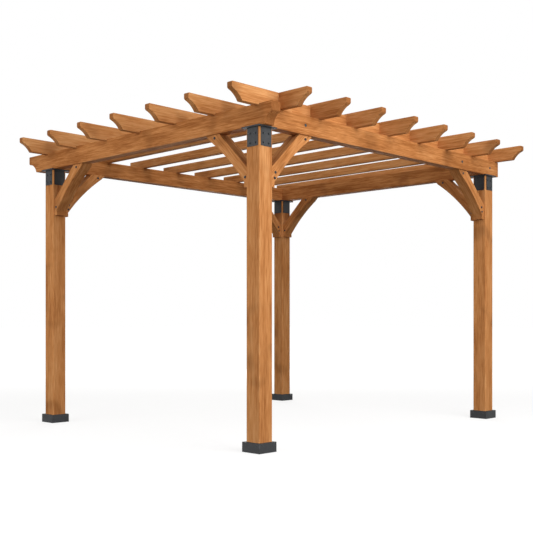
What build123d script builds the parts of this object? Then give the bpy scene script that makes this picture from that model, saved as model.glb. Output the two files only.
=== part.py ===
from build123d import *
import os
import math

# Wooden pergola. Millimetres, +Z up, Z = 0 on the floor.
# +X runs to the right along the front, +Y runs from the front to the back.
# The origin is the bottom centre of the box around the whole frame.

os.makedirs("parts", exist_ok=True)

# Posts and the heights they set
POST = 120.0              # side of the square post
POST_EDGE = 4.0           # small bevel on the four long corners
SPAN_X = 2400.0           # post centre to post centre, left to right
SPAN_Y = 2760.0           # post centre to post centre, front to back
BEAM_Z = 2100.0           # floor to the underside of the beams

# Steel post bases
BASE_OVER = 20.0          # how far the skirt stands out from the post
BASE_H = 66.0             # height of the skirt
BASE_WALL = 4.0           # sheet thickness of the skirt
BASE_FLOOR = 6.0          # plate the post stands on
BASE_EDGE = 2.0           # softened outer rim

# Steel brackets on top of the posts
CAP_OVER = 22.0           # how far the top plate stands out from the post
CAP_T = 8.0               # thickness of the top plate
FLANGE_T = 4.0            # thickness of the hanging plates
FLANGE_W = 96.0           # width of a hanging plate
FLANGE_DROP = 130.0       # from the top of the bracket to the plate's lower edge
FLANGE_R = 6.0            # rounded lower corners of a hanging plate

# Beams
BEAM_T = 82.0             # beam thickness
FRONT_H = 138.0           # height of the front beam
SIDE_H = 127.0            # height of the side and back beams
FRONT_RIGHT = (108.0, 56.0)   # front beam's right end: past the post face, length of the shaped part
FRONT_LEFT = (250.0, 110.0)   # front beam's left end, which runs further out
BEAM_NOSE = 0.38          # part of the height that is the upright nose
SIDE_PAST = 91.0          # side beam's end past the back post's face

# Rafters and the short front tails
BOARD_T = 46.0            # thickness of rafters and tails
BOARD_H = 110.0           # height of rafters and tails
RAFTERS = 8               # number of rafters
RAFTER_OUT = 250.0        # side beam's face to the tip of a rafter
RAFTER_FIRST = 180.0      # front face of the posts to the first rafter
RAFTER_LAST = 10.0        # last rafter's back face to the side beam's end
TAILS = 7                 # number of short tails along the front
TAIL_OUT = 240.0          # front beam's face to the tip of a tail
TAIL_PAST = 127.0         # tail's inner end past the first rafter's front face
TAIL_NOTCH = 11.0         # how deep a tail is notched over the front beam
NOSE = 0.30               # part of the height that is the upright nose
RUN = 86.0                # length of the shaped end

# Blocking boards between the rafters, over the right beam
BLOCKING_T = 38.0         # thickness of a blocking board
BLOCKING_IN = 68.0        # side beam's outer face to the blocking's outer face

# Shape of the hollow-and-bead ends, as parts of the board's height or of the curve's length
BEAD = 0.10               # depth of the bead under the nose
BEAD_BOW = 0.02           # how far the bead swells
COVE_BOW = 0.16           # how far the hollow curve bows in

# Knee braces
BRACE_T = 94.0            # brace thickness
BRACE_OUT = (275.0, 260.0)    # where the upper edge meets the beam and the post
BRACE_IN = (405.0, 385.0)     # where the brace ends on the beam and on the post
BRACE_TOE = 35.0          # depth of the square toe at each end
BRACE_ARCH = 18.0         # rise of the arched lower edge

# Derived places
HALF_X = SPAN_X / 2
FACE_X = HALF_X + POST / 2                  # outer faces of the posts
DEPTH = TAIL_OUT + SPAN_Y + POST + SIDE_PAST
FACE_FRONT = -DEPTH / 2 + TAIL_OUT          # front faces of the front posts
FACE_BACK = FACE_FRONT + SPAN_Y + POST      # back faces of the back posts
POST_Y = {"front": FACE_FRONT + POST / 2, "back": FACE_BACK - POST / 2}
POST_X = {"left": -HALF_X, "right": HALF_X}
FRONT_TOP = BEAM_Z + FRONT_H
ROOF_Z = BEAM_Z + SIDE_H                    # rafters stand on the side beams
TAIL_Z = FRONT_TOP - TAIL_NOTCH             # lower edge of the tails
CORNERS = [(side, end) for end in ("front", "back") for side in ("left", "right")]


def save(name, shape):
    """Writes one named node."""
    shape.label = name
    export_step(shape, f"parts/{name}.step")


def block(x0, x1, y0, y1, z0, z1):
    """Returns a box between two corners."""
    size = Box(x1 - x0, y1 - y0, z1 - z0)
    return Pos((x0 + x1) / 2, (y0 + y1) / 2, (z0 + z1) / 2) * size


def hollow(a, b, sag):
    """Returns the middle point of an arc from a to b that bows to the left of the way from a to b."""
    mx = (a[0] + b[0]) / 2
    my = (a[1] + b[1]) / 2
    length = math.dist(a, b)
    nx = -(b[1] - a[1]) / length
    ny = (b[0] - a[0]) / length
    return (mx + nx * sag, my + ny * sag)


def shaped_end(tip, way, height, run, nose):
    """Lists the corners of a shaped end, from its top down to the board's lower edge.

    The tip is upright at first, then a small round bead turns into a long hollow
    curve that reaches the lower edge one run further back. Way is 1 for an end that
    points along +U and -1 for one that points along -U.
    """
    drop = height * nose
    bead = height * BEAD
    top = (tip, height)
    end = (tip, height - drop)
    start = (tip - way * bead * 0.75, height - drop - bead)
    low = (tip - way * run, 0.0)
    bead_mid = hollow(end, start, way * height * BEAD_BOW)
    sag_mid = hollow(start, low, -way * COVE_BOW * math.dist(start, low))
    return top, end, bead_mid, start, sag_mid, low


def end_edges(corners):
    """Returns the edges of a shaped end, from its top down."""
    top, end, bead_mid, start, sag_mid, low = corners
    return [Line(top, end), ThreePointArc(end, bead_mid, start), ThreePointArc(start, sag_mid, low)]


def square_end(tip, height):
    """Returns the one edge of an end that is cut square, and its two corners."""
    return (tip, height), (tip, 0.0), [Line((tip, height), (tip, 0.0))]


def board_face(near, far):
    """Returns the side outline of a board from its two ends.

    Each end is the point at its top, the point at its foot and the edges between them.
    """
    near_top, near_low, near_edges = near
    far_top, far_low, far_edges = far
    edges = near_edges + far_edges + [Line(near_top, far_top), Line(near_low, far_low)]
    return make_face(Curve() + edges)


def ogee(tip, way, height, run, nose):
    """Returns a shaped end in the form that board_face takes."""
    corners = shaped_end(tip, way, height, run, nose)
    return corners[0], corners[-1], end_edges(corners)


def board_x(face, y0, thick, z0):
    """Returns a board along X from its side outline, its front face at Y = y0."""
    plane = Plane(origin=(0, y0, z0), x_dir=(1, 0, 0), z_dir=(0, -1, 0))
    return extrude(plane * face, amount=-thick)


# Post bases: a floor plate with a folded skirt around the foot of the post
def base(x, y):
    half = POST / 2 + BASE_OVER
    shell = block(x - half, x + half, y - half, y + half, 0, BASE_H)
    shell = chamfer(shell.edges().filter_by(Axis.Z) + shell.edges().group_by(Axis.Z)[-1], BASE_EDGE)
    room = half - BASE_WALL
    shell -= block(x - room, x + room, y - room, y + room, BASE_FLOOR, BASE_H - BASE_WALL)
    foot = POST / 2
    shell -= block(x - foot, x + foot, y - foot, y + foot, BASE_FLOOR, BASE_H)
    return shell


# Posts: square timbers with eased corners
def post(x, y):
    half = POST / 2
    body = block(x - half, x + half, y - half, y + half, BASE_FLOOR, BEAM_Z - CAP_T)
    return chamfer(body.edges().filter_by(Axis.Z), POST_EDGE)


# Post brackets: a top plate with one plate hanging down each face of the post
def flange_face():
    outline = Rectangle(FLANGE_W, FLANGE_DROP - CAP_T, align=(Align.CENTER, Align.MAX))
    return fillet(outline.vertices().group_by(Axis.Y)[0], FLANGE_R)


def bracket(x, y):
    half = POST / 2 + CAP_OVER
    body = block(x - half, x + half, y - half, y + half, BEAM_Z - CAP_T, BEAM_Z)
    for turn in range(4):
        angle = math.radians(90 * turn)
        out = (math.sin(angle), -math.cos(angle), 0)
        along = (math.cos(angle), math.sin(angle), 0)
        spot = (x + out[0] * POST / 2, y + out[1] * POST / 2, BEAM_Z - CAP_T)
        plane = Plane(origin=spot, x_dir=along, z_dir=out)
        body += extrude(plane * flange_face(), amount=FLANGE_T)
    return body


for side, end in CORNERS:
    px = POST_X[side]
    py = POST_Y[end]
    save(f"{end}_{side}_post_base", base(px, py))
    save(f"{end}_{side}_post", post(px, py))
    save(f"{end}_{side}_post_bracket", bracket(px, py))


# Beams: the front one runs through with shaped ends, the others are cut square
right_out, right_run = FRONT_RIGHT
left_out, left_run = FRONT_LEFT
front_face = board_face(
    ogee(-FACE_X - left_out, -1, FRONT_H, left_run, BEAM_NOSE),
    ogee(FACE_X + right_out, 1, FRONT_H, right_run, BEAM_NOSE),
)
save("front_beam", board_x(front_face, FACE_FRONT, BEAM_T, BEAM_Z))
side_start = FACE_FRONT + BEAM_T
side_end = FACE_BACK + SIDE_PAST
inner_x = FACE_X - BEAM_T
save("right_beam", block(inner_x, FACE_X, side_start, side_end, BEAM_Z, ROOF_Z))
save("left_beam", block(-FACE_X, -inner_x, side_start, side_end, BEAM_Z, ROOF_Z))
save("back_beam", block(-inner_x, inner_x, FACE_BACK - BEAM_T, FACE_BACK, BEAM_Z, ROOF_Z))


# Knee braces: one each way from every post up to the beam above
def brace_face():
    """Outline of a brace: U away from the post, V up, V = 0 under the beam."""
    out_u, out_v = BRACE_OUT
    in_u, in_v = BRACE_IN
    top_in = (in_u - BRACE_TOE, -BRACE_TOE)
    low_in = (BRACE_TOE, -in_v + BRACE_TOE)
    mid = hollow(low_in, top_in, BRACE_ARCH)
    edges = [
        Line((0, -out_v), (out_u, 0)),
        Line((out_u, 0), (in_u, 0)),
        Line((in_u, 0), top_in),
        ThreePointArc(top_in, mid, low_in),
        Line(low_in, (BRACE_TOE, -in_v)),
        Line((BRACE_TOE, -in_v), (0, -in_v)),
        Line((0, -in_v), (0, -out_v)),
    ]
    return make_face(Curve() + edges)


def brace(x, y, way):
    """Returns a brace that leaves the post at x, y along the unit direction way."""
    origin = (x + way[0] * POST / 2, y + way[1] * POST / 2, BEAM_Z)
    across = (way[1], -way[0], 0)
    plane = Plane(origin=origin, x_dir=(way[0], way[1], 0), z_dir=across)
    return extrude(plane * brace_face(), amount=BRACE_T / 2, both=True)


for side, end in CORNERS:
    px = POST_X[side]
    py = POST_Y[end]
    along_x = (1, 0) if side == "left" else (-1, 0)
    along_y = (0, 1) if end == "front" else (0, -1)
    save(f"{end}_brace_{side}", brace(px, py, along_x))
    save(f"{side}_brace_{end}", brace(px, py, along_y))


# Rafters: long boards that stand on the side beams, with the front one lapped for the tails
first_y = FACE_FRONT + RAFTER_FIRST
last_y = side_end - RAFTER_LAST - BOARD_T
pitch = (last_y - first_y) / (RAFTERS - 1)
tail_pitch = (2 * FACE_X - BOARD_T) / (TAILS - 1)
tail_places = [-FACE_X + k * tail_pitch for k in range(TAILS)]
lap = ROOF_Z + BOARD_H / 2        # height where a tail and the first rafter share the lap
roof_top = ROOF_Z + BOARD_H
tail_top = TAIL_Z + BOARD_H
rafter_tip = FACE_X + RAFTER_OUT
rafter_face = board_face(
    ogee(-rafter_tip, -1, BOARD_H, RUN, NOSE),
    ogee(rafter_tip, 1, BOARD_H, RUN, NOSE),
)

for number in range(RAFTERS):
    y = first_y + number * pitch
    board = board_x(rafter_face, y, BOARD_T, ROOF_Z)
    if number == 0:
        for x0 in tail_places:
            board -= block(x0, x0 + BOARD_T, y, y + BOARD_T, lap, max(roof_top, tail_top))
    save(f"rafter_{number + 1}", board)


# Blocking: on the right side short boards close the gaps between the rafters
block_x = FACE_X - BLOCKING_IN
blocking = []
for number in range(RAFTERS - 1):
    y0 = first_y + number * pitch + BOARD_T
    y1 = first_y + (number + 1) * pitch
    blocking.append(block(block_x - BLOCKING_T, block_x, y0, y1, ROOF_Z, roof_top))
save("right_blocking", Compound(children=blocking))


# Front tails: short boards notched over the front beam and lapped over the first rafter
tail_face = board_face(
    square_end(-RAFTER_FIRST - TAIL_PAST, BOARD_H),
    ogee(TAIL_OUT, 1, BOARD_H, RUN, NOSE),
)


def tail(x):
    """Returns the tail whose left face is at x."""
    plane = Plane(origin=(x, FACE_FRONT, TAIL_Z), x_dir=(0, -1, 0), z_dir=(-1, 0, 0))
    board = extrude(plane * tail_face, amount=-BOARD_T)
    board -= block(x, x + BOARD_T, FACE_FRONT, side_start, BEAM_Z, FRONT_TOP)
    board -= block(x, x + BOARD_T, first_y, first_y + BOARD_T, BEAM_Z, lap)
    for way in (-1, 1):
        near, far = sorted((way * inner_x, way * FACE_X))
        board -= block(near, far, side_start, side_end, BEAM_Z, ROOF_Z)
    return board


for number, x0 in enumerate(tail_places):
    save(f"front_tail_{number + 1}", tail(x0))
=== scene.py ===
import logging
import math
from dataclasses import dataclass, field
from enum import Enum

import bmesh
import bpy
from mathutils import Euler, Matrix, Vector


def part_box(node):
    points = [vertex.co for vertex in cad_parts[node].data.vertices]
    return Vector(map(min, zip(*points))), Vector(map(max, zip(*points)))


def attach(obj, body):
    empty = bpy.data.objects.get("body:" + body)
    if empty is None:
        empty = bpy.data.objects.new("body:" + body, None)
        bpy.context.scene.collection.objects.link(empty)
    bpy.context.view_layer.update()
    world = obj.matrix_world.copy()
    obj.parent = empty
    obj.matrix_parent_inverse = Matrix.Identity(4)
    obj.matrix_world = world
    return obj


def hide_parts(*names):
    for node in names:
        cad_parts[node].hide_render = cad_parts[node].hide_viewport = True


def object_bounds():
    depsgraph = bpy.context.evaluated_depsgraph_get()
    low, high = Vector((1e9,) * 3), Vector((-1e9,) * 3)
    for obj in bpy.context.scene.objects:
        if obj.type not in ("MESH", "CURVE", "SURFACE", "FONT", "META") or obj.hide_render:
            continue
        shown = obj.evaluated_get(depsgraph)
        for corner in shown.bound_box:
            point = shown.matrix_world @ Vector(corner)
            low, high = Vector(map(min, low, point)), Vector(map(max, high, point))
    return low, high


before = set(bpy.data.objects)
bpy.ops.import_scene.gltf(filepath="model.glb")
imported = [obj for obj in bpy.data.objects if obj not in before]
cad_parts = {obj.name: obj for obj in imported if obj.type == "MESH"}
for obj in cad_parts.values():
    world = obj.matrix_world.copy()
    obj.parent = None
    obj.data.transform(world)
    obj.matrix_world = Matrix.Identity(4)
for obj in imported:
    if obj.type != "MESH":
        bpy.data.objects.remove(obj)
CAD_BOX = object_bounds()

log = logging.getLogger("pergola")

MM = 0.001
SIDES = ("left", "right")
ENDS = ("front", "back")
SIDE_SIGN = {"left": -1, "right": 1}
END_SIGN = {"front": -1, "back": 1}


def linear(hex_colour: str) -> tuple[float, float, float, float]:
    """Turns an sRGB hex colour into the linear colour that shaders take.

    Args:
        hex_colour: Six hex digits with a leading hash.

    Returns:
        Red, green, blue and alpha from 0 to 1.
    """
    def channel(value: int) -> float:
        """Turns one sRGB channel into a linear one."""
        share = value / 255
        return share / 12.92 if share <= 0.04045 else ((share + 0.055) / 1.055) ** 2.4

    digits = hex_colour.lstrip("#")
    red, green, blue = (channel(int(digits[k:k + 2], 16)) for k in (0, 2, 4))
    return red, green, blue, 1.0


def add_node(
    tree: bpy.types.NodeTree,
    kind: str,
    settings: dict | None = None,
    inputs: dict | None = None,
) -> bpy.types.Node:
    """Adds a shader node, sets its properties and fills or links its inputs.

    Args:
        tree: The node tree that gets the node.
        kind: The node's type name.
        settings: Properties of the node itself.
        inputs: Input name or index to a constant, or to an output socket that is linked to it.

    Returns:
        The new node.
    """
    node = tree.nodes.new(kind)
    for name, value in (settings or {}).items():
        setattr(node, name, value)
    for name, value in (inputs or {}).items():
        if isinstance(value, bpy.types.NodeSocket):
            tree.links.new(value, node.inputs[name])
        else:
            node.inputs[name].default_value = value
    return node


def blank_material(name: str) -> tuple[bpy.types.Material, bpy.types.NodeTree]:
    """Returns a new material and its node tree, emptied."""
    material = bpy.data.materials.new(name)
    material.use_nodes = True
    material.node_tree.nodes.clear()
    return material, material.node_tree


def ease_edges(piece: bpy.types.Object, width_mm: float, sharp_degrees: float) -> None:
    """Rounds the sharp edges of a piece, whose mesh itself stays as it is.

    Args:
        piece: The piece's object.
        width_mm: How far the rounding reaches from an edge.
        sharp_degrees: The smallest turn between two faces that counts as an edge.
    """
    weld = piece.modifiers.new("joined_corners", "WELD")
    weld.merge_threshold = 0.02 * MM
    ease = piece.modifiers.new("eased_edges", "BEVEL")
    ease.width = width_mm * MM
    ease.segments = 2
    ease.limit_method = "ANGLE"
    ease.angle_limit = math.radians(sharp_degrees)
    flat = piece.modifiers.new("even_faces", "WEIGHTED_NORMAL")
    flat.keep_sharp = False


class Grain(Enum):
    """Ways a timber's grain can run, with the turn that lays that way along X."""

    ALONG_X = (0.0, 0.0, 0.0)
    ALONG_Y = (0.0, 0.0, -90.0)
    ALONG_Z = (0.0, 90.0, 0.0)
    RISING_RIGHT = (0.0, 45.0, 0.0)
    RISING_LEFT = (0.0, 135.0, 0.0)
    RISING_BACK = (-45.0, 0.0, -90.0)
    RISING_FRONT = (-135.0, 0.0, -90.0)


class Head(Enum):
    """Kinds of fastener head on the frame."""

    WASHER_HEX = "washer_hex"
    COUNTERSUNK = "countersunk"
    CARRIAGE = "carriage"


@dataclass(frozen=True)
class StainedSoftwood:
    """Sawn and planed softwood under a semi-transparent brown oil stain.

    The stain soaks into the soft early wood and leaves the hard late wood lighter, so the
    eye sees long warm streaks along each board, a few small dark knots and a dull sheen. The
    stops say how far along a pattern a tone begins or ends, and the shares say how much of a
    layer is laid over the rest.
    """

    name: str
    light: str = "#D29B66"
    middle: str = "#BA7C48"
    dark: str = "#8F562B"
    knot: str = "#4E2A14"
    end_grain: str = "#7C4B26"
    patch: str = "#6E4424"
    roughness: float = 0.64
    rougher_dark: float = 0.07
    smoother_light: float = 0.06
    gloss: float = 0.04
    streak_mm: float = 34.0
    streak_share: float = 0.36
    fine_streak_mm: float = 6.0
    fine_streak_share: float = 0.30
    fibre_mm: float = 3.0
    fibre_share: float = 0.26
    ring_mm: float = 7.0
    ring_share: float = 0.08
    stops: tuple[float, float, float] = (0.36, 0.51, 0.68)
    relief_mm: float = 0.5
    knot_spacing_mm: float = 330.0
    knot_mm: float = 11.0
    knot_narrow: float = 0.62
    knot_core: float = 0.75
    knot_edge: float = 1.9
    knot_share: float = 0.85
    patch_mm: float = 120.0
    patch_stops: tuple[float, float] = (0.54, 0.74)
    patch_share: float = 0.40
    soak_stops: tuple[float, float] = (0.45, 0.85)
    soak_share: float = 0.7

    def build(self, grain: Grain, centre: Vector, number: int, painted_light: float = 0.0) -> bpy.types.Material:
        """Makes the material for one board.

        Args:
            grain: The way the board's grain runs.
            centre: The middle of the board in metres.
            number: The board's place in the list, which shifts its pattern.
            painted_light: Painted light that makes the whole board lighter, or painted shade that makes it
                darker where it is negative.

        Returns:
            A node material whose rings run round a pith line beside this board.
        """
        material, tree = blank_material(f"{self.name}_{number:02d}")

        turn = Euler([math.radians(angle) for angle in grain.value])
        pith = Vector((0.37 * number, 0.035 + 0.011 * (number % 5), 0.05 + 0.013 * (number % 4)))
        shift = pith - turn.to_matrix() @ centre
        place = add_node(tree, "ShaderNodeTexCoord")
        board = add_node(tree, "ShaderNodeMapping", {"vector_type": "POINT"}, {
            "Vector": place.outputs["Object"], "Rotation": turn, "Location": shift,
        }).outputs["Vector"]

        # The late wood drawn as streaks, far longer than wide. Real fibres are too fine to show,
        # so they are drawn coarser
        def streaks(width_mm: float, stretch: float, detail: float, offset: float) -> bpy.types.NodeSocket:
            """Returns noise stretched along the grain, as wide as the streaks are."""
            across = 0.5 / (width_mm * MM)
            squeezed = add_node(tree, "ShaderNodeMapping", {"vector_type": "POINT"}, {
                "Vector": board, "Scale": (across / stretch, across, across),
                "Location": (offset, offset * 2, offset * 3),
            })
            noise = add_node(tree, "ShaderNodeTexNoise", None, {
                "Vector": squeezed.outputs["Vector"], "Scale": 1.0, "Detail": detail,
                "Roughness": 0.55, "Distortion": 0.3,
            })
            return noise.outputs["Fac"]

        wide = streaks(self.streak_mm, stretch=6.0, detail=4.0, offset=3.1 + number)
        fine = streaks(self.fine_streak_mm, stretch=26.0, detail=3.0, offset=7.7 + number)
        fibre = streaks(self.fibre_mm, stretch=14.0, detail=1.0, offset=1.3 + number)

        # Growth rings round the pith, drawn wider than real ones so that they show. At a scale of
        # 1 the wave repeats every pi / 10 metres
        bend = add_node(tree, "ShaderNodeTexNoise", None, {
            "Vector": board, "Scale": 1.6, "Detail": 2.0, "Roughness": 0.5,
        })
        bent = add_node(tree, "ShaderNodeMix", {"data_type": "VECTOR", "factor_mode": "UNIFORM"}, {
            0: 0.035, 4: board, 5: bend.outputs["Color"],
        })
        rings = add_node(tree, "ShaderNodeTexWave", {
            "wave_type": "RINGS", "rings_direction": "X", "wave_profile": "SAW",
        }, {
            "Vector": bent.outputs[1], "Scale": math.pi / 10 / (self.ring_mm * MM),
            "Distortion": 1.2, "Detail": 2.0, "Detail Scale": 0.6,
        })

        def add_share(layer: bpy.types.NodeSocket, share: float, rest: object) -> bpy.types.NodeSocket:
            """Returns the rest with one layer added at its share."""
            return add_node(tree, "ShaderNodeMath", {"operation": "MULTIPLY_ADD"}, {
                0: layer, 1: share, 2: rest,
            }).outputs[0]

        # The board's painted light, or painted shade where it is negative, shifts its whole tone along the
        # ramp
        figure = add_share(wide, self.streak_share, add_share(fine, self.fine_streak_share, painted_light))
        ringed = add_share(rings.outputs["Fac"], self.ring_share, figure)
        tone = add_share(fibre, self.fibre_share, ringed)
        ramp = add_node(tree, "ShaderNodeValToRGB", None, {"Fac": tone})
        stops = ramp.color_ramp.elements
        stops[0].position = self.stops[0]
        stops[0].color = linear(self.dark)
        stops[1].position = self.stops[2]
        stops[1].color = linear(self.light)
        middle = stops.new(self.stops[1])
        middle.color = linear(self.middle)

        # Small dark knots with a soft edge, a little longer along the grain
        across_knot = 1 / (self.knot_spacing_mm * MM)
        sparse = add_node(tree, "ShaderNodeMapping", {"vector_type": "POINT"}, {
            "Vector": board, "Scale": (across_knot * self.knot_narrow, across_knot, across_knot),
        })
        cells = add_node(tree, "ShaderNodeTexVoronoi", {"feature": "F1"}, {
            "Vector": sparse.outputs["Vector"], "Scale": 1.0, "Randomness": 1.0,
        })
        reach = self.knot_mm / self.knot_spacing_mm
        spot = add_node(tree, "ShaderNodeMapRange", {"interpolation_type": "SMOOTHSTEP"}, {
            "Value": cells.outputs["Distance"],
            "From Min": reach * self.knot_core, "From Max": reach * self.knot_edge,
            "To Min": self.knot_share, "To Max": 0.0,
        })
        knotted = add_node(tree, "ShaderNodeMix", {"data_type": "RGBA"}, {
            0: spot.outputs["Result"], 6: ramp.outputs["Color"], 7: linear(self.knot),
        })

        # The stain stays darker in soft patches about as wide as a hand
        cloud = add_node(tree, "ShaderNodeTexNoise", None, {
            "Vector": board, "Scale": 0.5 / (self.patch_mm * MM), "Detail": 2.0, "Roughness": 0.45,
        })
        patchy = add_node(tree, "ShaderNodeMapRange", {"interpolation_type": "SMOOTHSTEP"}, {
            "Value": cloud.outputs["Fac"],
            "From Min": self.patch_stops[0], "From Max": self.patch_stops[1],
            "To Min": 0.0, "To Max": self.patch_share,
        })
        stained = add_node(tree, "ShaderNodeMix", {"data_type": "RGBA"}, {
            0: patchy.outputs["Result"], 6: knotted.outputs[2], 7: linear(self.patch),
        })

        # Cut ends drink more stain than the long faces
        axis = turn.to_matrix().transposed() @ Vector((1, 0, 0))
        facing = add_node(tree, "ShaderNodeVectorMath", {"operation": "DOT_PRODUCT"}, {
            0: place.outputs["Normal"], 1: tuple(axis),
        })
        cut = add_node(tree, "ShaderNodeMath", {"operation": "ABSOLUTE"}, {0: facing.outputs["Value"]})
        soaked = add_node(tree, "ShaderNodeMapRange", {"interpolation_type": "SMOOTHSTEP"}, {
            "Value": cut.outputs[0],
            "From Min": self.soak_stops[0], "From Max": self.soak_stops[1],
            "To Min": 0.0, "To Max": self.soak_share,
        })
        coloured = add_node(tree, "ShaderNodeMix", {"data_type": "RGBA"}, {
            0: soaked.outputs["Result"], 6: stained.outputs[2], 7: linear(self.end_grain),
        })

        bump = add_node(tree, "ShaderNodeBump", None, {
            "Strength": 0.5, "Distance": self.relief_mm * MM, "Height": add_share(fibre, 0.6, figure),
        })
        sheen = add_node(tree, "ShaderNodeMapRange", None, {
            "Value": fine, "From Min": 0.3, "From Max": 0.7,
            "To Min": self.roughness + self.rougher_dark,
            "To Max": self.roughness - self.smoother_light,
        })
        surface = add_node(tree, "ShaderNodeBsdfPrincipled", None, {
            "Base Color": coloured.outputs[2], "Roughness": sheen.outputs["Result"],
            "Normal": bump.outputs["Normal"], "IOR": 1.45, "Specular IOR Level": self.gloss,
        })
        add_node(tree, "ShaderNodeOutputMaterial", None, {"Surface": surface.outputs["BSDF"]})
        return material


@dataclass(frozen=True)
class PowderCoat:
    """Black powder coat on folded steel plate.

    The baked powder leaves a fine orange peel, so the plates look soft black with a dull,
    slightly speckled shine.
    """

    name: str
    colour: str = "#17181A"
    speck: str = "#292B2E"
    roughness: float = 0.52
    peel_mm: float = 2.6
    relief_mm: float = 0.12
    dust_mm: float = 500 / 14
    speck_stops: tuple[float, float] = (0.14, 0.40)
    gloss: float = 0.36

    def build(self) -> bpy.types.Material:
        """Returns the node material of the coated plates."""
        material, tree = blank_material(self.name)
        place = add_node(tree, "ShaderNodeTexCoord")
        peel = add_node(tree, "ShaderNodeTexNoise", None, {
            "Vector": place.outputs["Object"], "Scale": 0.5 / (self.peel_mm * MM), "Detail": 3.0,
        })
        dust = add_node(tree, "ShaderNodeTexNoise", None, {
            "Vector": place.outputs["Object"], "Scale": 0.5 / (self.dust_mm * MM), "Detail": 4.0,
            "Roughness": 0.6,
        })
        mixed = add_node(tree, "ShaderNodeMath", {"operation": "MULTIPLY"}, {
            0: peel.outputs["Fac"], 1: dust.outputs["Fac"],
        })
        ramp = add_node(tree, "ShaderNodeValToRGB", None, {"Fac": mixed.outputs[0]})
        stops = ramp.color_ramp.elements
        stops[0].position = self.speck_stops[0]
        stops[0].color = linear(self.colour)
        stops[1].position = self.speck_stops[1]
        stops[1].color = linear(self.speck)
        bump = add_node(tree, "ShaderNodeBump", None, {
            "Strength": 0.6, "Distance": self.relief_mm * MM, "Height": peel.outputs["Fac"],
        })
        surface = add_node(tree, "ShaderNodeBsdfPrincipled", None, {
            "Base Color": ramp.outputs["Color"], "Roughness": self.roughness,
            "Normal": bump.outputs["Normal"], "IOR": 1.5, "Specular IOR Level": self.gloss,
        })
        add_node(tree, "ShaderNodeOutputMaterial", None, {"Surface": surface.outputs["BSDF"]})
        return material


@dataclass(frozen=True)
class BlackOxide:
    """Black oxide on steel screws and bolts, a dark skin with a thin oily shine."""

    name: str
    colour: str = "#26282A"
    worn: str = "#3B3E41"
    roughness: float = 0.38
    smoother: float = 0.12
    rougher: float = 0.15
    metallic: float = 0.55
    wear_mm: float = 3.0

    def build(self) -> bpy.types.Material:
        """Returns the node material of the screw and bolt heads."""
        material, tree = blank_material(self.name)
        place = add_node(tree, "ShaderNodeTexCoord")
        wear = add_node(tree, "ShaderNodeTexNoise", None, {
            "Vector": place.outputs["Object"], "Scale": 0.5 / (self.wear_mm * MM), "Detail": 2.0,
        })
        rough = add_node(tree, "ShaderNodeMapRange", None, {
            "Value": wear.outputs["Fac"],
            "To Min": self.roughness - self.smoother, "To Max": self.roughness + self.rougher,
        })
        tint = add_node(tree, "ShaderNodeMix", {"data_type": "RGBA"}, {
            0: wear.outputs["Fac"], 6: linear(self.colour), 7: linear(self.worn),
        })
        surface = add_node(tree, "ShaderNodeBsdfPrincipled", None, {
            "Base Color": tint.outputs[2], "Roughness": rough.outputs["Result"],
            "Metallic": self.metallic,
        })
        add_node(tree, "ShaderNodeOutputMaterial", None, {"Surface": surface.outputs["BSDF"]})
        return material


@dataclass
class Timbers:
    """The wooden pieces that keep their solids: posts, beams and braces."""

    finish: StainedSoftwood = field(default_factory=lambda: StainedSoftwood("stained_softwood"))
    edge_mm: float = 2.2
    sharp_degrees: float = 32.0
    # Painted light and shade: tails, posts and rafters take the same stain drawn lighter, as if lit more,
    # and the beams drawn darker, as if shaded
    tail_painted_light: float = 0.06
    post_and_rafter_painted_light: float = 0.02
    beam_painted_shade: float = -0.05

    def grain_of(self, node: str) -> Grain:
        """Returns the way that a piece's grain runs, from its name."""
        if node.endswith("_post"):
            return Grain.ALONG_Z
        if "_brace_" in node:
            return {
                "front_brace_left": Grain.RISING_RIGHT, "back_brace_left": Grain.RISING_RIGHT,
                "front_brace_right": Grain.RISING_LEFT, "back_brace_right": Grain.RISING_LEFT,
                "left_brace_front": Grain.RISING_BACK, "right_brace_front": Grain.RISING_BACK,
                "left_brace_back": Grain.RISING_FRONT, "right_brace_back": Grain.RISING_FRONT,
            }[node]
        if node in ("left_beam", "right_beam"):
            return Grain.ALONG_Y
        return Grain.ALONG_X

    def painted_light_of(self, node: str) -> float:
        """Returns the painted light of a piece: tails lightest, then posts and rafters, and painted shade
        on the beams.
        """
        if node.startswith("front_tail_"):
            return self.tail_painted_light
        if node.endswith("_beam"):
            return self.beam_painted_shade
        if node.endswith("_post") or node.startswith("rafter_"):
            return self.post_and_rafter_painted_light
        return 0.0

    def stain(
        self,
        piece: bpy.types.Object,
        grain: Grain,
        centre: Vector,
        number: int,
        painted_light: float = 0.0,
    ) -> None:
        """Gives one timber its stain and the eased edges of planed wood.

        Args:
            piece: The timber's object.
            grain: The way its grain runs.
            centre: Its middle in metres.
            number: The number of its pattern.
            painted_light: Painted light that makes it lighter, or painted shade that makes it darker where
                it is negative.
        """
        piece.data.materials.clear()
        piece.data.materials.append(self.finish.build(grain, centre, number, painted_light))
        ease_edges(piece, self.edge_mm, self.sharp_degrees)

    def dress(self) -> None:
        """Gives every timber its finish and its eased edges."""
        other = ("_post_base", "_post_bracket")
        roof = ("rafter_", "front_tail_", "right_blocking")
        wooden = sorted(
            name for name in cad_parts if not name.endswith(other) and not name.startswith(roof)
        )
        for number, name in enumerate(wooden):
            low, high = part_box(name)
            # Each timber gets the painted light or painted shade of its kind of piece
            centre, painted_light = (low + high) / 2, self.painted_light_of(name)
            self.stain(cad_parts[name], self.grain_of(name), centre, number, painted_light)
            log.info("dressed %s", name)


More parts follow.
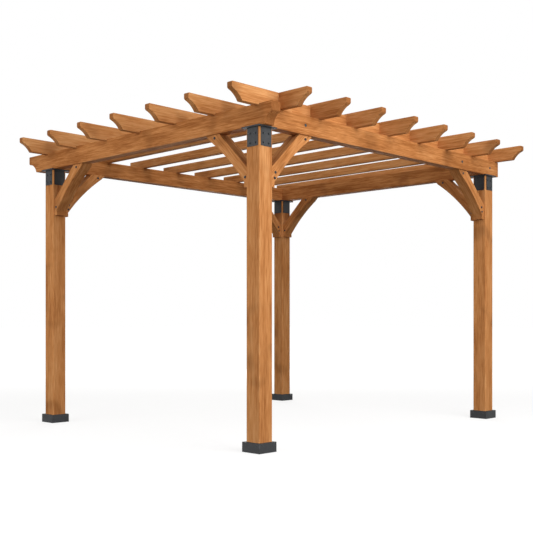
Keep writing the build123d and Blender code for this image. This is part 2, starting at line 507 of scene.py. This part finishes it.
@dataclass
class RoofBoards:
    """The rafters and the short front tails, with their shaped ends.

    Between the side beams a rafter is a lower board. Its full height is kept for the shaped
    end on the right. On the left it ends square, a short way past the beam. The nose, the bead
    and their curves are parts of the board's height, and the bow of the hollow is a part of its
    length. The patterns are the first numbers of each kind of board's grain.
    """

    timbers: Timbers
    inner_high: float = 68 * MM
    blocking_high: float = 98 * MM
    left_past: float = 110 * MM
    step_in: float = 106 * MM
    nose: float = 0.30
    nose_round: tuple[float, float] = (0.045, 0.05)
    bead: float = 0.11
    bead_in: float = 0.10
    bead_bow: float = 0.018
    run: float = 88 * MM
    cove_bow: float = 0.085
    curve_steps: int = 12
    rafter_patterns: int = 50
    tail_patterns: int = 60
    blocking_patterns: int = 71

    def bow(
        self,
        start: tuple[float, float],
        end: tuple[float, float],
        sag: float,
    ) -> list[tuple[float, float]]:
        """Lists points of a shallow arc between two points.

        Args:
            start: The arc's first point.
            end: The arc's last point.
            sag: How far it bows to the left of its way, in metres.

        Returns:
            The points after the start, with the end.
        """
        across = (-(end[1] - start[1]), end[0] - start[0])
        length = math.hypot(*across)
        points = []
        for k in range(1, self.curve_steps + 1):
            share = k / self.curve_steps
            lift = 4 * sag * share * (1 - share) / length
            points.append((
                start[0] + (end[0] - start[0]) * share + across[0] * lift,
                start[1] + (end[1] - start[1]) * share + across[1] * lift,
            ))
        return points

    def shaped_end(self, tip: float, low: float, high: float) -> list[tuple[float, float]]:
        """Lists a shaped end from its lower edge up to its top, for an end that points along +U.

        Args:
            tip: The furthest place of the end.
            low: The board's lower edge.
            high: The board's top.

        Returns:
            Points from the foot of the hollow curve, round the bead and up the nose.
        """
        tall = high - low
        foot = (tip - self.run, low)
        under_bead = (tip - self.bead_in * tall, high - (self.nose + self.bead) * tall)
        nose_low = (tip, high - self.nose * tall)
        chord = math.dist(foot, under_bead)
        points = [foot]
        points += self.bow(foot, under_bead, self.cove_bow * chord)
        points += self.bow(under_bead, nose_low, -self.bead_bow * tall)
        points.append((tip, high - self.nose_round[1] * tall))
        points.append((tip - self.nose_round[0] * tall, high))
        return points

    def extrude(self, name: str, outline: list[Vector], step: Vector) -> bpy.types.Object:
        """Makes a board from its side outline.

        Args:
            name: The board's name.
            outline: Corners of one side, in order.
            step: The way and distance to the other side.

        Returns:
            The new board.
        """
        mesh = bmesh.new()
        near = [mesh.verts.new(corner) for corner in outline]
        far = [mesh.verts.new(corner + step) for corner in outline]
        mesh.faces.new(near)
        mesh.faces.new(list(reversed(far)))
        for k in range(len(near)):
            following = (k + 1) % len(near)
            mesh.faces.new((near[k], far[k], far[following], near[following]))
        bmesh.ops.recalc_face_normals(mesh, faces=mesh.faces)
        data = bpy.data.meshes.new(name)
        mesh.to_mesh(data)
        mesh.free()
        board = bpy.data.objects.new(name, data)
        bpy.context.scene.collection.objects.link(board)
        return board

    def finish_board(self, board: bpy.types.Object, node: str, grain: Grain, number: int) -> None:
        """Dresses a board, and lets it stand for its solid.

        Args:
            board: The board's object.
            node: The solid that it stands for.
            grain: The way its grain runs.
            number: The number of its pattern.
        """
        low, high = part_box(node)
        # The board gets the painted light or painted shade of the solid it stands for
        self.timbers.stain(board, grain, (low + high) / 2, number, self.timbers.painted_light_of(node))
        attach(board, "root")
        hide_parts(node)
        log.info("built %s", board.name)

    def rafters(self) -> None:
        """Builds the eight rafters. The first has a notch for each tail."""
        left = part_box("left_beam")[0].x - self.left_past
        step_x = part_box("right_beam")[1].x - self.step_in
        names = sorted(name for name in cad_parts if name.startswith("rafter_"))
        tails = sorted(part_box(name)[0].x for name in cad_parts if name.startswith("front_tail_"))
        tail_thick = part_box("front_tail_1")[1].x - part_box("front_tail_1")[0].x
        for number, node in enumerate(names):
            low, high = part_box(node)
            inner_top = low.z + self.inner_high
            lap = (low.z + high.z) / 2
            outline = [(left, low.z)] + self.shaped_end(high.x, low.z, high.z)
            if number == 0:
                outline.append((tails[-1] + tail_thick, high.z))
                top = high.z
                for x in reversed(tails):
                    outline += [(x + tail_thick, top), (x + tail_thick, lap), (x, lap)]
                    top = inner_top
                    outline.append((x, top))
                outline = [
                    point for k, point in enumerate(outline) if k == 0 or point != outline[k - 1]
                ]
            else:
                outline += [(step_x, high.z), (step_x, inner_top)]
            outline.append((left, inner_top))
            corners = [Vector((x, low.y, z)) for x, z in outline]
            across = Vector((0, high.y - low.y, 0))
            board = self.extrude(f"rafter_board_{number + 1}", corners, across)
            self.finish_board(board, node, Grain.ALONG_X, self.rafter_patterns + number)

    def tails(self) -> None:
        """Builds the seven short tails, notched over the front beam and lapped over the first rafter."""
        beam_low, beam_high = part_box("front_beam")
        rafter_low, rafter_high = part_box("rafter_1")
        names = sorted(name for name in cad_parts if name.startswith("front_tail_"))
        for number, node in enumerate(names):
            low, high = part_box(node)
            lap = (rafter_low.z + rafter_high.z) / 2
            # The outline is drawn with U pointing out of the front, so U is minus Y
            outline = [(-high.y, low.z)]
            outline += [(-rafter_high.y, low.z), (-rafter_high.y, lap)]
            outline += [(-rafter_low.y, lap), (-rafter_low.y, low.z)]
            outline += [(-beam_high.y, low.z), (-beam_high.y, beam_high.z)]
            outline += [(-beam_low.y, beam_high.z), (-beam_low.y, low.z)]
            outline += self.shaped_end(-low.y, low.z, high.z)
            outline.append((-high.y, high.z))
            corners = [Vector((low.x, -u, z)) for u, z in outline]
            across = Vector((high.x - low.x, 0, 0))
            board = self.extrude(f"tail_board_{number + 1}", corners, across)
            self.finish_board(board, node, Grain.ALONG_Y, self.tail_patterns + number)

    def blocking(self) -> None:
        """Builds the short boards between the rafters over the right beam, a little lower than them."""
        low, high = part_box("right_blocking")
        across = Vector((high.x - low.x, 0, 0))
        top = low.z + self.blocking_high
        names = sorted(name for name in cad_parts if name.startswith("rafter_"))
        for number, (before, after) in enumerate(zip(names, names[1:])):
            start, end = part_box(before)[1].y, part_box(after)[0].y
            corners = [Vector((low.x, start, z)) for z in (low.z, top)]
            corners += [Vector((low.x, end, z)) for z in (top, low.z)]
            board = self.extrude(f"blocking_board_{number + 1}", corners, across)
            centre = Vector(((low.x + high.x) / 2, (start + end) / 2, low.z))
            self.timbers.stain(board, Grain.ALONG_Y, centre, self.blocking_patterns + number)
            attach(board, "root")
        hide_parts("right_blocking")

    def build(self) -> None:
        """Builds the rafters, the tails and the blocking."""
        self.rafters()
        self.tails()
        self.blocking()


@dataclass
class Ironwork:
    """The black steel bases and brackets of the four posts."""

    coat: PowderCoat = field(default_factory=lambda: PowderCoat("black_powder_coat"))
    edge_mm: float = 1.0
    sharp_degrees: float = 40.0

    def dress(self) -> None:
        """Gives the steel pieces their coat and soft folded edges."""
        material = self.coat.build()
        for name, piece in sorted(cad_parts.items()):
            if not name.endswith(("_post_base", "_post_bracket")):
                continue
            piece.data.materials.clear()
            piece.data.materials.append(material)
            ease_edges(piece, self.edge_mm, self.sharp_degrees)
            log.info("dressed %s", name)


@dataclass
class Fasteners:
    """Screw and bolt heads, gathered in one mesh for each kind of place on the frame.

    Places are measured from the corners of the pieces that carry the heads.
    """

    rafter_inner_high: float
    oxide: BlackOxide = field(default_factory=lambda: BlackOxide("black_oxide_steel"))
    washer_mm: float = 9.5
    hex_mm: float = 6.2
    hex_high_mm: float = 5.0
    screw_mm: float = 6.5
    dome_mm: float = 11.0
    plate: float = 4 * MM
    bracket_across: float = 25 * MM
    bracket_rows: tuple[float, float] = (47 * MM, 108 * MM)
    base_across: float = 48 * MM
    base_high: float = 47 * MM
    bolt_high: float = 64 * MM
    bolt_front: float = 442 * MM
    bolts_back: tuple[float, float] = (490 * MM, 46 * MM)
    sink: float = 0.9 * MM
    material: bpy.types.Material | None = field(default=None, init=False)

    def ring_solid(
        self,
        mesh: bmesh.types.BMesh,
        rings: list[tuple[float, float, int]],
        seat: Matrix,
    ) -> None:
        """Adds a closed turned or six-sided head to a mesh.

        Args:
            mesh: The mesh that gets the head.
            rings: Radius in mm, height in mm and number of sides, from the seat upwards.
            seat: The place and direction of the head, whose Z points out of the timber.
        """
        sides = rings[0][2]
        loops = []
        for radius, height, _ in rings:
            loops.append([
                mesh.verts.new(seat @ Vector((
                    radius * MM * math.cos(math.tau * k / sides),
                    radius * MM * math.sin(math.tau * k / sides),
                    height * MM,
                )))
                for k in range(sides)
            ])
        for lower, upper in zip(loops, loops[1:]):
            for k in range(sides):
                mesh.faces.new((lower[k], lower[(k + 1) % sides], upper[(k + 1) % sides], upper[k]))
        mesh.faces.new(list(reversed(loops[0])))
        mesh.faces.new(loops[-1])

    def add_head(self, mesh: bmesh.types.BMesh, kind: Head, spot: Vector, out: Vector) -> None:
        """Adds one fastener head to a mesh.

        Args:
            mesh: The mesh that gets the head.
            kind: Which head it is.
            spot: Where its seat lies, in metres.
            out: The direction out of the timber.
        """
        seat = Matrix.Translation(spot) @ out.to_track_quat("Z", "Y").to_matrix().to_4x4()
        if kind is Head.WASHER_HEX:
            wide, top = self.washer_mm, self.hex_high_mm
            self.ring_solid(mesh, [(wide, -0.5, 20), (wide, 0.9, 20), (wide - 0.7, 1.5, 20)], seat)
            core = self.hex_mm
            self.ring_solid(mesh, [(core, 1.4, 6), (core, 1.4 + top, 6), (core - 1.2, 2.0 + top, 6)], seat)
        elif kind is Head.COUNTERSUNK:
            wide = self.screw_mm
            self.ring_solid(mesh, [
                (wide, -0.6, 18), (wide, 0.35, 18), (wide - 0.5, 0.75, 18), (wide * 0.42, 0.85, 18),
                (wide * 0.36, 0.1, 18),
            ], seat)
        else:
            wide = self.dome_mm
            arc = [math.radians(angle) for angle in (0, 18, 36, 54, 72, 84)]
            rings = [(wide * math.cos(a), 0.4 + wide * 0.42 * math.sin(a), 24) for a in arc]
            self.ring_solid(mesh, [(wide, -0.5, 24)] + rings, seat)

    def gather(self, name: str, kind: Head, seats: list[tuple[Vector, Vector]]) -> None:
        """Makes one piece out of all the heads in one kind of place.

        Args:
            name: The piece's name.
            kind: Which head they have.
            seats: Seat and outward direction of each head.
        """
        mesh = bmesh.new()
        for spot, out in seats:
            self.add_head(mesh, kind, spot, out)
        data = bpy.data.meshes.new(name)
        mesh.to_mesh(data)
        mesh.free()
        data.materials.append(self.material)
        piece = bpy.data.objects.new(name, data)
        bpy.context.scene.collection.objects.link(piece)
        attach(piece, "root")
        log.info("built %s with %d heads", name, len(seats))

    def build(self) -> None:
        """Builds the heads of every place in order."""
        self.material = self.oxide.build()
        self.bracket_screws()
        self.base_screws()
        self.brace_screws()
        self.beam_bolts()
        self.roof_screws()

    def bracket_screws(self) -> None:
        """Puts four lag screws on the two outer plates of each bracket."""
        seats = []
        for end in ENDS:
            for side in SIDES:
                low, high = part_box(f"{end}_{side}_post")
                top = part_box(f"{end}_{side}_post_bracket")[1].z
                middle = (low + high) / 2
                x_face = (high.x + self.plate) if side == "right" else (low.x - self.plate)
                y_face = (low.y - self.plate) if end == "front" else (high.y + self.plate)
                x_out, y_out = Vector((SIDE_SIGN[side], 0, 0)), Vector((0, END_SIGN[end], 0))
                for drop in self.bracket_rows:
                    for step in (-self.bracket_across, self.bracket_across):
                        seats.append((Vector((x_face, middle.y + step, top - drop)), x_out))
                        seats.append((Vector((middle.x + step, y_face, top - drop)), y_out))
        self.gather("bracket_screws", Head.WASHER_HEX, seats)

    def base_screws(self) -> None:
        """Puts two screws on each side of each post base."""
        seats = []
        for end in ENDS:
            for side in SIDES:
                low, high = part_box(f"{end}_{side}_post_base")
                middle = (low + high) / 2
                for step in (-self.base_across, self.base_across):
                    for way in (-1, 1):
                        x_face = high.x if way > 0 else low.x
                        y_face = high.y if way > 0 else low.y
                        along_x = Vector((x_face, middle.y + step, self.base_high))
                        along_y = Vector((middle.x + step, y_face, self.base_high))
                        seats.append((along_x, Vector((way, 0, 0))))
                        seats.append((along_y, Vector((0, way, 0))))
        self.gather("base_screws", Head.COUNTERSUNK, seats)

    def brace_screws(self) -> None:
        """Puts hex screws on both flanks of each brace, with a second one at the post on the sides."""
        front_spots = ((24 * MM, 318 * MM), (318 * MM, 24 * MM))
        side_spots = ((42 * MM, 284 * MM), (36 * MM, 322 * MM), (334 * MM, 27 * MM))
        seats = []
        for end in ENDS:
            for side in SIDES:
                for name, runs_x in ((f"{end}_brace_{side}", True), (f"{side}_brace_{end}", False)):
                    low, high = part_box(name)
                    for out, down in front_spots if runs_x else side_spots:
                        for way in (-1, 1):
                            if runs_x:
                                x = low.x + out if side == "left" else high.x - out
                                y = high.y if way > 0 else low.y
                                seats.append((Vector((x, y, high.z - down)), Vector((0, way, 0))))
                            else:
                                y = low.y + out if end == "front" else high.y - out
                                x = high.x if way > 0 else low.x
                                seats.append((Vector((x, y, high.z - down)), Vector((way, 0, 0))))
        self.gather("brace_screws", Head.WASHER_HEX, seats)

    def beam_bolts(self) -> None:
        """Puts carriage bolts through the side beams, above the braces and beside the back posts."""
        seats = []
        for side in SIDES:
            low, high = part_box(f"{side}_beam")
            x = high.x if side == "right" else low.x
            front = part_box(f"front_{side}_post")[0].y
            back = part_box(f"back_{side}_post")[1].y
            places = [front + self.bolt_front] + [back - inboard for inboard in self.bolts_back]
            for y in places:
                seats.append((Vector((x, y, low.z + self.bolt_high)), Vector((SIDE_SIGN[side], 0, 0))))
        self.gather("beam_bolts", Head.CARRIAGE, seats)

    def roof_screws(self) -> None:
        """Puts a screw through each rafter over each side beam, and one through each tail."""
        seats = []
        up = Vector((0, 0, 1))
        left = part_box("left_beam")
        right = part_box("right_beam")
        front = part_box("front_beam")
        for node in sorted(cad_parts):
            low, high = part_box(node)
            middle = (low + high) / 2
            if node.startswith("rafter_"):
                left_top = low.z + self.rafter_inner_high
                seats.append((Vector(((left[0].x + left[1].x) / 2, middle.y, left_top)), up))
                seats.append((Vector(((right[0].x + right[1].x) / 2, middle.y, high.z)), up))
            if node.startswith("front_tail_"):
                seats.append((Vector((middle.x, (front[0].y + front[1].y) / 2, high.z)), up))
        # These heads lie 0.05 mm under the boards' tops, so that nothing stands above the frame, and
        # they don't show. Nothing may stand above the frame
        seats = [(spot - up * self.sink, out) for spot, out in seats]
        self.gather("roof_screws", Head.COUNTERSUNK, seats)


@dataclass
class Studio:
    """Floor, soft light and the camera of the photograph.

    The glow pairs are a distance from the origin in metres and the floor's glow there. The room
    pairs are a height on the sky, from -1 to 1, and the strength of its light there.
    """

    frame_px: float = 533.0
    focal_px: float = 890.0
    horizon_px: float = 317.9
    turn_degrees: float = 44.31
    camera_right: float = 3.9986
    camera_front: float = 4.0309
    camera_high: float = 0.8667
    floor_half: float = 60.0
    paper: str = "#878787"
    bounce: str = "#332D28"
    white: str = "#FFFFFF"
    room: str = "#FFFDFA"
    glow_near: tuple[float, float] = (2.5, 0.75)
    glow_far: tuple[float, float] = (9.0, 0.92)
    room_low: tuple[float, float] = (-0.1, 0.25)
    room_high: tuple[float, float] = (0.9, 0.56)
    aim_high: float = 1.3

    def camera(self) -> None:
        """Places the camera by its fitted distance from the front right post."""
        data = bpy.data.cameras.new("photo_camera")
        data.sensor_fit = "HORIZONTAL"
        data.sensor_width = 36.0
        data.lens = self.focal_px * data.sensor_width / self.frame_px
        data.shift_y = (self.horizon_px - self.frame_px / 2) / self.frame_px
        data.clip_end = 200.0
        low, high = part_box("front_right_post")
        eye = bpy.data.objects.new("photo_camera", data)
        eye.location = (high.x + self.camera_right, low.y - self.camera_front, self.camera_high)
        eye.rotation_euler = (math.radians(90), 0, math.radians(self.turn_degrees))
        bpy.context.scene.collection.objects.link(eye)
        bpy.context.scene.camera = eye

    def seen_directly(self, tree: bpy.types.NodeTree) -> bpy.types.NodeSocket:
        """Returns 1 for rays from the camera, a mirror or glass, and 0 for light that bounces."""
        path = add_node(tree, "ShaderNodeLightPath")
        gloss = add_node(tree, "ShaderNodeMath", {"operation": "MAXIMUM"}, {
            0: path.outputs["Is Camera Ray"], 1: path.outputs["Is Glossy Ray"],
        })
        through = add_node(tree, "ShaderNodeMath", {"operation": "MAXIMUM"}, {
            0: gloss.outputs[0], 1: path.outputs["Is Transmission Ray"],
        })
        return through.outputs[0]

    def floor(self) -> None:
        """Lays a pale floor that looks white and keeps a soft shadow."""
        mesh = bmesh.new()
        bmesh.ops.create_grid(mesh, x_segments=8, y_segments=8, size=self.floor_half)
        data = bpy.data.meshes.new("studio_floor")
        mesh.to_mesh(data)
        mesh.free()
        floor = bpy.data.objects.new("studio_floor", data)
        floor.location.z = -0.5 * MM
        bpy.context.scene.collection.objects.link(floor)

        material, tree = blank_material("pale_studio_floor")
        # The glow is weaker under the lamps, so that the frame's soft shadow still shows there
        place = add_node(tree, "ShaderNodeTexCoord")
        reach = add_node(tree, "ShaderNodeVectorMath", {"operation": "LENGTH"}, {
            0: place.outputs["Object"],
        })
        rise = add_node(tree, "ShaderNodeMapRange", {"interpolation_type": "SMOOTHSTEP"}, {
            "Value": reach.outputs["Value"],
            "From Min": self.glow_near[0], "From Max": self.glow_far[0],
            "To Min": self.glow_near[1], "To Max": self.glow_far[1],
        })
        paper = add_node(tree, "ShaderNodeBsdfDiffuse", None, {"Color": linear(self.paper)})
        glow = add_node(tree, "ShaderNodeEmission", None, {
            "Color": linear(self.white), "Strength": rise.outputs["Result"],
        })
        shown = add_node(tree, "ShaderNodeAddShader", None, {0: paper.outputs[0], 1: glow.outputs[0]})
        bounce = add_node(tree, "ShaderNodeBsdfDiffuse", None, {"Color": linear(self.bounce)})
        mixed = add_node(tree, "ShaderNodeMixShader", None, {
            0: self.seen_directly(tree), 1: bounce.outputs[0], 2: shown.outputs[0],
        })
        add_node(tree, "ShaderNodeOutputMaterial", None, {"Surface": mixed.outputs[0]})
        data.materials.append(material)

    def world(self) -> None:
        """Fills the room with soft light from above, and shows white behind the frame."""
        world = bpy.data.worlds.new("studio_room")
        bpy.context.scene.world = world
        world.use_nodes = True
        tree = world.node_tree
        tree.nodes.clear()
        way = add_node(tree, "ShaderNodeTexCoord")
        height = add_node(tree, "ShaderNodeSeparateXYZ", None, {0: way.outputs["Generated"]})
        rise = add_node(tree, "ShaderNodeMapRange", {"interpolation_type": "SMOOTHSTEP"}, {
            "Value": height.outputs["Z"],
            "From Min": self.room_low[0], "From Max": self.room_high[0],
            "To Min": self.room_low[1], "To Max": self.room_high[1],
        })
        soft = add_node(tree, "ShaderNodeBackground", None, {
            "Color": linear(self.room), "Strength": rise.outputs["Result"],
        })
        white = add_node(tree, "ShaderNodeBackground", None, {
            "Color": linear(self.white), "Strength": 1.0,
        })
        mixed = add_node(tree, "ShaderNodeMixShader", None, {
            0: self.seen_directly(tree), 1: soft.outputs[0], 2: white.outputs[0],
        })
        add_node(tree, "ShaderNodeOutputWorld", None, {"Surface": mixed.outputs[0]})

    def soft_box(self, name: str, power: float, size: tuple[float, float], spot: Vector) -> None:
        """Adds a large soft box that faces the frame, so close that its light falls off across it.

        Args:
            name: The lamp's name.
            power: Its power in watts.
            size: Its width and height in metres.
            spot: Where it stands.
        """
        low, high = CAD_BOX
        aim = Vector(((low[0] + high[0]) / 2, (low[1] + high[1]) / 2, self.aim_high))
        data = bpy.data.lights.new(name, "AREA")
        data.shape = "RECTANGLE"
        data.size, data.size_y = size
        data.energy = power
        lamp = bpy.data.objects.new(name, data)
        lamp.location = spot
        lamp.rotation_euler = (aim - spot).to_track_quat("-Z", "Y").to_euler()
        lamp.visible_camera = False
        bpy.context.scene.collection.objects.link(lamp)

    def lamps(self) -> None:
        """Stands soft boxes at the right, in front, overhead and at the back left."""
        low, high = CAD_BOX
        mid_x, mid_y = (low[0] + high[0]) / 2, (low[1] + high[1]) / 2
        self.soft_box("right_soft_box", 205, (4.2, 4.4), Vector((high[0] + 3.2, mid_y - 0.4, 2.3)))
        self.soft_box("front_soft_box", 112, (4.2, 3.4), Vector((mid_x - 0.3, low[1] - 3.2, 1.7)))
        self.soft_box("top_soft_box", 60, (3.4, 3.4), Vector((high[0] + 1.4, mid_y - 1.0, 5.6)))
        self.soft_box("back_left_soft_box", 230, (4.2, 3.4), Vector((low[0] - 3.6, high[1] + 3.6, 2.4)))

    def build(self) -> None:
        """Builds the camera, floor, room and lamps."""
        self.camera()
        self.floor()
        self.world()
        self.lamps()
        bpy.context.scene.view_settings.view_transform = "Standard"


def main() -> None:
    """Builds the pergola's looks in order."""
    logging.basicConfig(level=logging.INFO, format="%(message)s")
    Studio().build()
    timbers = Timbers()
    timbers.dress()
    roof = RoofBoards(timbers)
    roof.build()
    Ironwork().dress()
    Fasteners(roof.inner_high).build()


if __name__ == "__main__":
    main()
